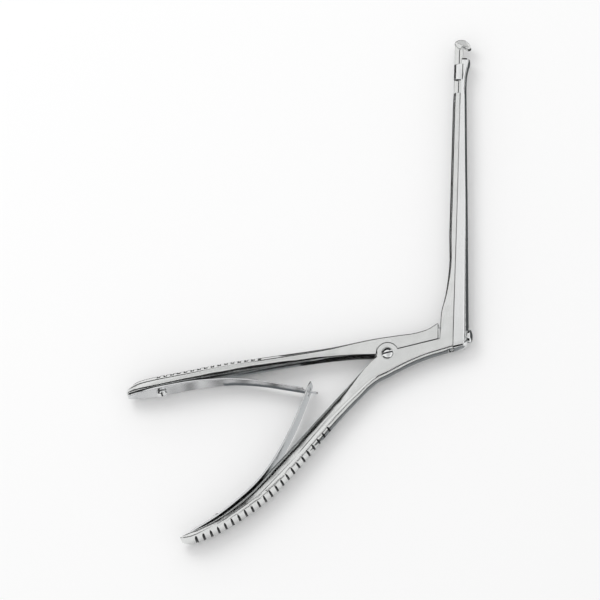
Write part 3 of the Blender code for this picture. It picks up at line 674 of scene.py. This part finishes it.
table = bmesh.new()
bmesh.ops.create_grid(table, x_segments=1, y_segments=1, size=TABLE_REACH)
stage_object("table", table, paper("white table", "#FBFBFB"))
print("the table reaches", TABLE_REACH, "m each way")

# %% [markdown]
# ## Screens round the table
#
# Polished steel has hardly a look of its own: it shows the room. In a white room it turns white
# and its edges vanish, so the room is planned. Tall dark screens stand behind the punch, past
# the top of the picture, and in front of it. A low one stands on the right, and a gap on the
# left keeps what faces that way pale. A rounded edge mirrors a screen as a thin dark line. A
# low pale screen before the one behind keeps faces that look to the upper left from going
# black.
#
# In a studio the screens would be kept out of the frame. Here it is enough that only
# reflections see them: they aren't in the picture, give no light and throw no shadow.

# %% Stand up the screens
SCREEN_FOOT = 2 * MM
SCREEN_STEPS = 48


def unseen(card):
    """Leaves a card to the reflections alone: no camera view, no light and no shadow of it."""
    card.visible_camera = False
    card.visible_diffuse = False
    card.visible_shadow = False
    return card


def screen(name, radius, height, start, turn, colour):
    """An upright card bent round the table: metres, and degrees where it starts and turns."""
    bm = bmesh.new()
    angle = math.radians(start)
    foot, head = (bm.verts.new((radius * math.cos(angle), radius * math.sin(angle), z))
                  for z in (SCREEN_FOOT, height))
    edge = bm.edges.new((foot, head))
    bmesh.ops.spin(bm, geom=[foot, head, edge], cent=(0, 0, 0), axis=(0, 0, 1),
                   angle=math.radians(turn), steps=SCREEN_STEPS)
    unseen(stage_object(name, bm, paper(name, colour)))


for name, radius, height, start, turn, colour in (
    ("dark screen behind", 0.7, 0.8, 60, 102, "#101010"),
    ("dark screen in front", 0.7, 0.8, 200, 106, "#101010"),
    ("low dark screen", 0.7, 0.12, -54, 114, "#101010"),
    ("low pale screen", 0.65, 0.15, 109, 30, "#C9CBCB"),
):
    screen(name, radius, height, start, turn, colour)
    print(f"{name}: {height} m high, {turn} degrees round")

# %% [markdown]
# ## Painted shade under the neck
#
# A side that curves down toward the table mirrors the table close beside it, where the punch throws
# its shade. So a strip laid there along the outline draws a band along the steel. The neck of the
# rear handle shows a grey and a black band, and gets two strips. They are painted shade: glowing
# cards that only reflections see, standing in for the shaded table. Bands painted on the steel
# would be wrong, since they would stay put when the light or the camera moves. A card that glows
# evenly keeps its tone wherever the lamp stands.

# %% Lay two strips along the neck
def glow(name, colour):
    """A card that is evenly lit at the level of its colour."""
    material = bpy.data.materials.new(name)
    material.use_nodes = True
    material.node_tree.nodes.clear()
    light = add(material.node_tree, "ShaderNodeEmission", Color=linear(colour), Strength=1.0)
    add(material.node_tree, "ShaderNodeOutputMaterial", {"Surface": light.outputs["Emission"]})
    return material


def painted_reflection_strip(name, edge, far_edge, colour, height=0.3):
    """A glowing card just over the table that only reflections see, between two lines in
    millimetres from the joint: painted shade or light for the steel to mirror.
    """
    bm = bmesh.new()
    near, far = ([bm.verts.new((*from_pivot(x, y).xy, height * MM)) for x, y in line]
                 for line in (edge, far_edge))
    for k in range(len(edge) - 1):
        bm.faces.new((near[k], near[k + 1], far[k + 1], far[k]))
    length = sum(math.dist(a, b) for a, b in zip(edge, edge[1:]))
    print(f"{name}: {length:.0f} mm long")
    return unseen(stage_object(name, bm, glow(name, colour)))


def moved(line, x, y):
    """A line of points, moved."""
    return [(a + x, b + y) for a, b in line]


neck = [(-31, -42), (-15.6, -24.5), (-6.2, -14.9), (4.7, -8.9), (15.6, -3.7), (27.2, 0.2), (42, 1)]
painted_reflection_strip("grey strip under the neck", neck, moved(neck, 4.4, -10), "#85888A")
painted_reflection_strip("black strip under the neck", moved(neck, 4.4, -10), moved(neck, 9, -20), "#1A1B1B")

# %% [markdown]
# ## Painted shade between the handles
#
# The inner side of the front handle shows a wide black band with a grey rim. It mirrors the space
# between the handles, where the handles' shade falls on the table. So a black card lies there as
# painted shade, with a grey strip close to the handle, and only reflections see them. The springs
# stand over that card and would turn black with it. So a pale strip, painted light, lies on it
# along the rear spring, and a streaked and a dark one along the front spring, each a little higher
# than what it covers.

# %% Lay the painted shade and the strips between the handles
inside = [(-84, -11), (-62, -7.6), (-44, -4.8), (-28, -2.5), (-15, -1.4), (-6, -1.3)]
between = [(-86, -36), (-66, -36), (-50, -34), (-34, -26), (-20, -14), (-9, -7)]
painted_reflection_strip("painted shade between the handles", inside, between, "#0A0A0A", height=0.25)
painted_reflection_strip("grey strip under the front handle", inside[:3], moved(inside[:3], -0.7, -2), "#8A8D8F")

hooked = [(-62, -64.8), (-51.4, -47.7), (-46.2, -36.3), (-42.8, -27.3), (-40.2, -19.7),
          (-38.3, -13)]
painted_reflection_strip("pale strip beside the rear spring", moved(hooked, 0.3, 0), moved(hooked, 6.5, 3.5),
            "#C9CBCC", height=0.4)

leaf = [(-125, -18), (-97, -13.2), (-83, -12), (-72, -12.3), (-62, -13.6), (-53, -15.3),
        (-38, -18.2)]
streaked = painted_reflection_strip("streaked strip under the front spring", leaf, moved(leaf, -2.4, -6),
                       "#FFFFFF")
painted_reflection_strip("dark strip under the front spring", leaf[2:], moved(leaf[2:], -1, -2.4),
            "#63676A", height=0.35)

# %% [markdown]
# ## Strips along the outer sides
#
# The photograph draws a dark line along most of the outline, which sets the pale steel off
# from the white table. Four dark strips lie along it: above the front handle, above the joint,
# left of the fixed shaft and past the tip. A grey one lies right of the sliding shaft, whose
# back shows paler.

# %% Lay the strips along the outer sides
# These strips are painted shade: glowing cards that stand for the table in shade beside the punch,
# mirrored as dark lines along the rounded edges.
back = [(40, 8), (39, 50), (37, 90), (36, 165)]
painted_reflection_strip("dark strip behind the slider", moved(back, 0.5, 0), moved(back, 57, 0), "#4C4F50")

top = [(-129, -12), (-117, -9), (-101, -6), (-81, -2.3), (-63, 0.1), (-45, 2.3), (-20, 6)]
brow = [(-56, 0.9), (-45, 2.3), (-20, 6), (2, 7.5), (18, 10)]
side = [(25.5, 9), (27, 40), (28.5, 90), (28.5, 164)]
for name, edge, far_edge in (
    ("dark strip above the front handle", top, moved(top, -4, 9.2)),
    ("dark strip above the joint", brow, moved(brow, -6, 45)),
    ("dark strip beside the shaft", side, moved(side, -60, 8)),
    ("dark strip beyond the tip", [(27, 167), (42, 167)], [(24, 197), (40, 197)]),
):
    painted_reflection_strip(name, edge, far_edge, "#2A2B2C")

# %% [markdown]
# ## Painted streaks under the front spring
#
# The front spring shows uneven grey streaks in the photograph, quiet near its screw and
# stronger toward the hook, because a bent strip mirrors a different spot at every point. One
# flat card can't give that, so the strip's glow follows a noise pattern. The pattern is drawn
# out across the spring, with a streak about every centimetre along it.

# %% Streak the strip
# The streaks are a painted reflection: the front spring mirrors this card's noise pattern.
STREAKS_PER_METRE = (95, 15, 1)
DIM, PALE, FULL = 0.16, 0.7, 0.75
NOISE_LOW, NOISE_HIGH = 0.36, 0.64
QUIET_UP_TO, STREAKED_FROM = pivot.x - 115 * MM, pivot.x - 96 * MM


def shine_by(material, strength):
    """Lets a pattern set how strongly a glowing card shines."""
    light = next(node for node in material.node_tree.nodes if node.type == "EMISSION")
    material.node_tree.links.new(strength, light.inputs["Strength"])


paint = streaked.data.materials[0]
tree = paint.node_tree
place = add(tree, "ShaderNodeTexCoord")
along = add(tree, "ShaderNodeSeparateXYZ", {"Vector": place.outputs["Object"]})
darkest = add(tree, "ShaderNodeMapRange", {"Value": along.outputs["X"]},
              From_Min=QUIET_UP_TO, From_Max=STREAKED_FROM, To_Min=PALE, To_Max=DIM)
across = add(tree, "ShaderNodeMapping", {"Vector": place.outputs["Object"]},
             Scale=STREAKS_PER_METRE)
streaks = add(tree, "ShaderNodeTexNoise", {"Vector": across.outputs["Vector"]},
              Scale=1.0, Detail=1.0)
tone = add(tree, "ShaderNodeMapRange",
           {"Value": streaks.outputs["Fac"], "To Min": darkest.outputs["Result"]},
           From_Min=NOISE_LOW, From_Max=NOISE_HIGH, To_Max=FULL)
shine_by(paint, tone.outputs["Result"])
print(f"streaks grow from {(pivot.x - QUIET_UP_TO) / MM:.0f} mm left of the joint")

# %% [markdown]
# ## A shaded card overhead
#
# The flat near faces make up most of the punch, and they all mirror one part of the ceiling,
# over the far side of the table. Under a bare white sky they would come out as white as the
# table. A round card hangs there, white on the left and at the far side and light grey between,
# so the handles' ends and the tip come out bright and the joint a shade darker. A card with
# one even tone would lose that slow change, which the eye reads as metal.

# %% Hang the card
CARD_RADIUS = 0.75
CARD_HEIGHT = 1.5
GREY = 0.68
WHITE_LEFT_OF, GREY_RIGHT_OF = -0.32, -0.12
GREY_UP_TO, WHITE_BEYOND = 0.53, 0.63

ceiling = bmesh.new()
bmesh.ops.create_circle(ceiling, cap_ends=True, segments=64, radius=CARD_RADIUS)
bmesh.ops.reverse_faces(ceiling, faces=ceiling.faces)
bmesh.ops.translate(ceiling, verts=ceiling.verts, vec=(0, 0, CARD_HEIGHT))

shaded = glow("shaded ceiling card", "#FFFFFF")
tree = shaded.node_tree
place = add(tree, "ShaderNodeTexCoord")
way = add(tree, "ShaderNodeSeparateXYZ", {"Vector": place.outputs["Object"]})
to_the_right = add(tree, "ShaderNodeMapRange", {"Value": way.outputs["X"]},
                   From_Min=WHITE_LEFT_OF, From_Max=GREY_RIGHT_OF, To_Min=1.0, To_Max=GREY)
to_the_far_side = add(tree, "ShaderNodeMapRange", {"Value": way.outputs["Y"]},
                      From_Min=GREY_UP_TO, From_Max=WHITE_BEYOND, To_Min=GREY, To_Max=1.0)
brighter = add(tree, "ShaderNodeMath",
               {0: to_the_right.outputs["Result"], 1: to_the_far_side.outputs["Result"]},
               operation="MAXIMUM")
shine_by(shaded, brighter.outputs["Value"])
unseen(stage_object("ceiling card", ceiling, shaded))
print("ceiling card:", 2 * CARD_RADIUS, "m across,", CARD_HEIGHT, "m up")

# %% [markdown]
# ## Sky and lamp
#
# The sky is full white where the camera or a reflection looks at it, and a little weaker where
# it lights the table, which comes out just under white that way. One large round softbox at the
# upper left lights the table too and draws the soft shadow of the punch. A small lamp would draw
# it hard. The softbox is kept out of the reflections, where it would be a spot on every screw.

# %% Light the scene
SKY_LIGHT = 0.86

world = bpy.data.worlds.new("white sky")
bpy.context.scene.world = world
world.use_nodes = True
sky = world.node_tree
path = add(sky, "ShaderNodeLightPath")
seen = path.outputs["Is Camera Ray"]
for ray in ("Is Glossy Ray", "Is Transmission Ray"):
    either = add(sky, "ShaderNodeMath", {0: seen, 1: path.outputs[ray]}, operation="MAXIMUM")
    seen = either.outputs["Value"]
level = add(sky, "ShaderNodeMapRange", {"Value": seen}, To_Min=SKY_LIGHT, To_Max=1.0)
background = sky.nodes["Background"]
background.inputs["Color"].default_value = (1, 1, 1, 1)
sky.links.new(level.outputs["Result"], background.inputs["Strength"])

lamp = bpy.data.lights.new("softbox", "AREA")
lamp.shape = "DISK"
lamp.size = 0.9
lamp.energy = 4.5
softbox = bpy.data.objects.new("softbox", lamp)
softbox.visible_glossy = False
softbox.location = (-0.6, 0.7, 1.2)
softbox.rotation_mode = "QUATERNION"
softbox.rotation_quaternion = softbox.location.to_track_quat("Z", "Y")
bpy.context.scene.collection.objects.link(softbox)
print(f"softbox: {lamp.size:.1f} m across, {softbox.location.length:.1f} m from the middle")

# %% [markdown]
# ## Camera
#
# The picture was taken from far away with a long lens, so nothing shrinks with distance and
# the camera can be a parallel one. It looks down steeply, from a little toward the lower right
# of the picture, which is why narrow right and lower sides show. The picture's right and its up
# are given as directions in the solid model, and squared up with each other. Two pixels make
# one millimetre, and the joint's pixel in the photograph fixes the place.

# %% Set up the camera
PICTURE = 600
PIXEL = 0.5 * MM
JOINT_PIXEL = (388.3, 355.7)
DISTANCE = 2
right = Vector((0.98996, 0.02592, -0.1392))
up = Vector((0.02298, 0.94063, 0.3387))
toward = right.cross(up).normalized()
right = up.cross(toward).normalized()
up = toward.cross(right).normalized()
aside, below = (pixel - PICTURE / 2 for pixel in JOINT_PIXEL)
centre = pivot - right * aside * PIXEL + up * below * PIXEL

camera = bpy.data.cameras.new("camera")
camera.type = "ORTHO"
camera.ortho_scale = PICTURE * PIXEL
camera.clip_end = 20
viewer = bpy.data.objects.new("camera", camera)
viewer.matrix_world = set_along(centre + toward * DISTANCE, right, up, toward)
bpy.context.scene.collection.objects.link(viewer)
bpy.context.scene.camera = viewer
bpy.context.scene.view_settings.view_transform = "Standard"
print(f"the camera looks down at {math.degrees(math.asin(toward.z)):.0f} degrees")
